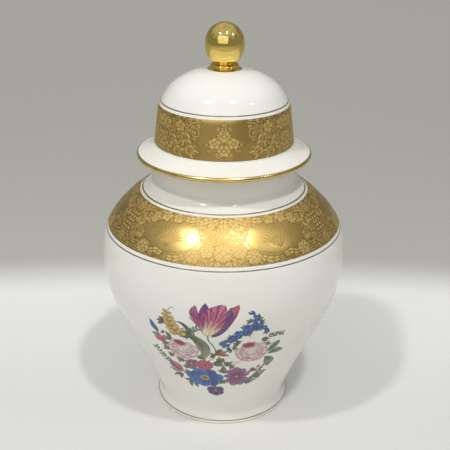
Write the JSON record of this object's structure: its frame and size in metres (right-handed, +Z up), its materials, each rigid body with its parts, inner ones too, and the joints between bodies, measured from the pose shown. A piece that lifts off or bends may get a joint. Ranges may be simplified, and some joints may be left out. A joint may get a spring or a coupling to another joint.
{
  "type": "lidded urn",
  "caption": "Footed round porcelain jar with a short neck, a lift-off domed lid with flange and bezel, gilt bands and lines, and a ball finial screwed through the lid.",
  "frame": {"origin": "on the axis, in the plane that the foot ring stands on", "axes": "+Z up along the axis of the jar, the lid lifts along +Z; the painted flowers face -Y"},
  "size_m": [0.2186, 0.2186, 0.3549],
  "materials": {
    "porcelain": "opaque white porcelain, clear glaze",
    "etched_gilding": "etched scroll pattern under fired gold, satin",
    "bright_gilding": "fired gold, bright",
    "polished_brass": "turned, polished and gold plated",
    "steel": "zinc plated",
    "cork": "pressed cork"
  },
  "bodies": {
    "jar": {"jar": "porcelain", "foot_gilt_line": "bright_gilding", "belly_gilt_line": "bright_gilding", "shoulder_gilt_band": "etched_gilding", "neck_gilt_line": "bright_gilding"},
    "lid": {"lid": "porcelain", "lid_gilt_band": "etched_gilding", "lid_gilt_line": "bright_gilding", "lid_rim_gilding": "bright_gilding", "finial_collar": "polished_brass", "finial_ball": "polished_brass", "finial_stud": "steel", "cushion_washer": "cork", "steel_washer": "steel", "finial_nut": "steel"}
  },
  "joints": [
    {"name": "lid_lift", "type": "slide", "parent": "jar", "child": "lid", "axis": [0, 0, 1], "range_m": [0, 0.16]}
  ]
}
